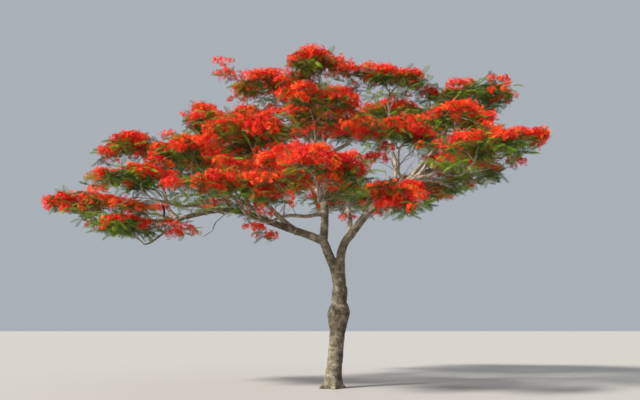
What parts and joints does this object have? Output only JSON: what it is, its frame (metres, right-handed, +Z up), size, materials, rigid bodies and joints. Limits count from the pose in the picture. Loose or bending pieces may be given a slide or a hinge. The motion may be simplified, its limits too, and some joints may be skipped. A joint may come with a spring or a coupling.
{
  "type": "flame tree",
  "caption": "Whole flowering shade tree with a leaning trunk, a forked frame of long boughs and a wide, flat-topped crown of red blossom and feathery leaves",
  "frame": {"origin": "middle of the flat cut under the trunk, at ground level", "axes": "+Z is up; -Y faces the viewer of the picture; +X is to that viewer's right"},
  "size_m": [13.2242, 11.1528, 9.2907],
  "materials": {
    "bark": "rough, mottled grey-brown bark with fine ridges",
    "blossom": "soft matt petals, bright orange-red, with leaves among them",
    "foliage": "soft matt feathery leaves, mid green, with some red blossom"
  },
  "bodies": {
    "root": {"trunk": "bark", "west_limb": "bark", "east_limb": "bark", "leader": "bark", "west_bough": "bark", "east_bough": "bark", "east_mid_bough": "bark", "east_top_bough": "bark", "north_bough": "bark", "north_east_bough": "bark", "north_top_bough": "bark", "north_west_bough": "bark", "northeast_bough": "bark", "northeast_top_bough": "bark", "northwest_bough": "bark", "northwest_top_bough": "bark", "south_low_bough": "bark", "south_mid_bough": "bark", "southeast_bough": "bark", "southeast_low_bough": "bark", "southeast_outer_bough": "bark", "southwest_low_bough": "bark", "southwest_mid_bough": "bark", "southwest_outer_bough": "bark", "sprig_bough": "bark", "top_east_bough": "bark", "top_west_bough": "bark", "west_high_bough": "bark", "west_low_bough": "bark", "west_mid_bough": "bark", "west_top_bough": "bark", "top": "blossom", "west_tip": "blossom", "east_tip": "blossom", "west_low": "foliage", "west_high": "blossom", "southwest_outer": "foliage", "southwest_low": "blossom", "west_mid": "blossom", "west_top": "blossom", "sprig": "blossom", "top_west": "blossom", "top_east": "blossom", "south_mid": "blossom", "southwest_mid": "blossom", "south_low": "blossom", "southeast": "blossom", "southeast_low": "blossom", "southeast_outer": "blossom", "east_mid": "blossom", "east_top": "foliage", "northwest": "foliage", "northwest_top": "blossom", "north_west": "foliage", "north_top": "blossom", "north": "foliage", "north_east": "foliage", "northeast_top": "blossom", "northeast": "foliage"}
  },
  "joints": []
}
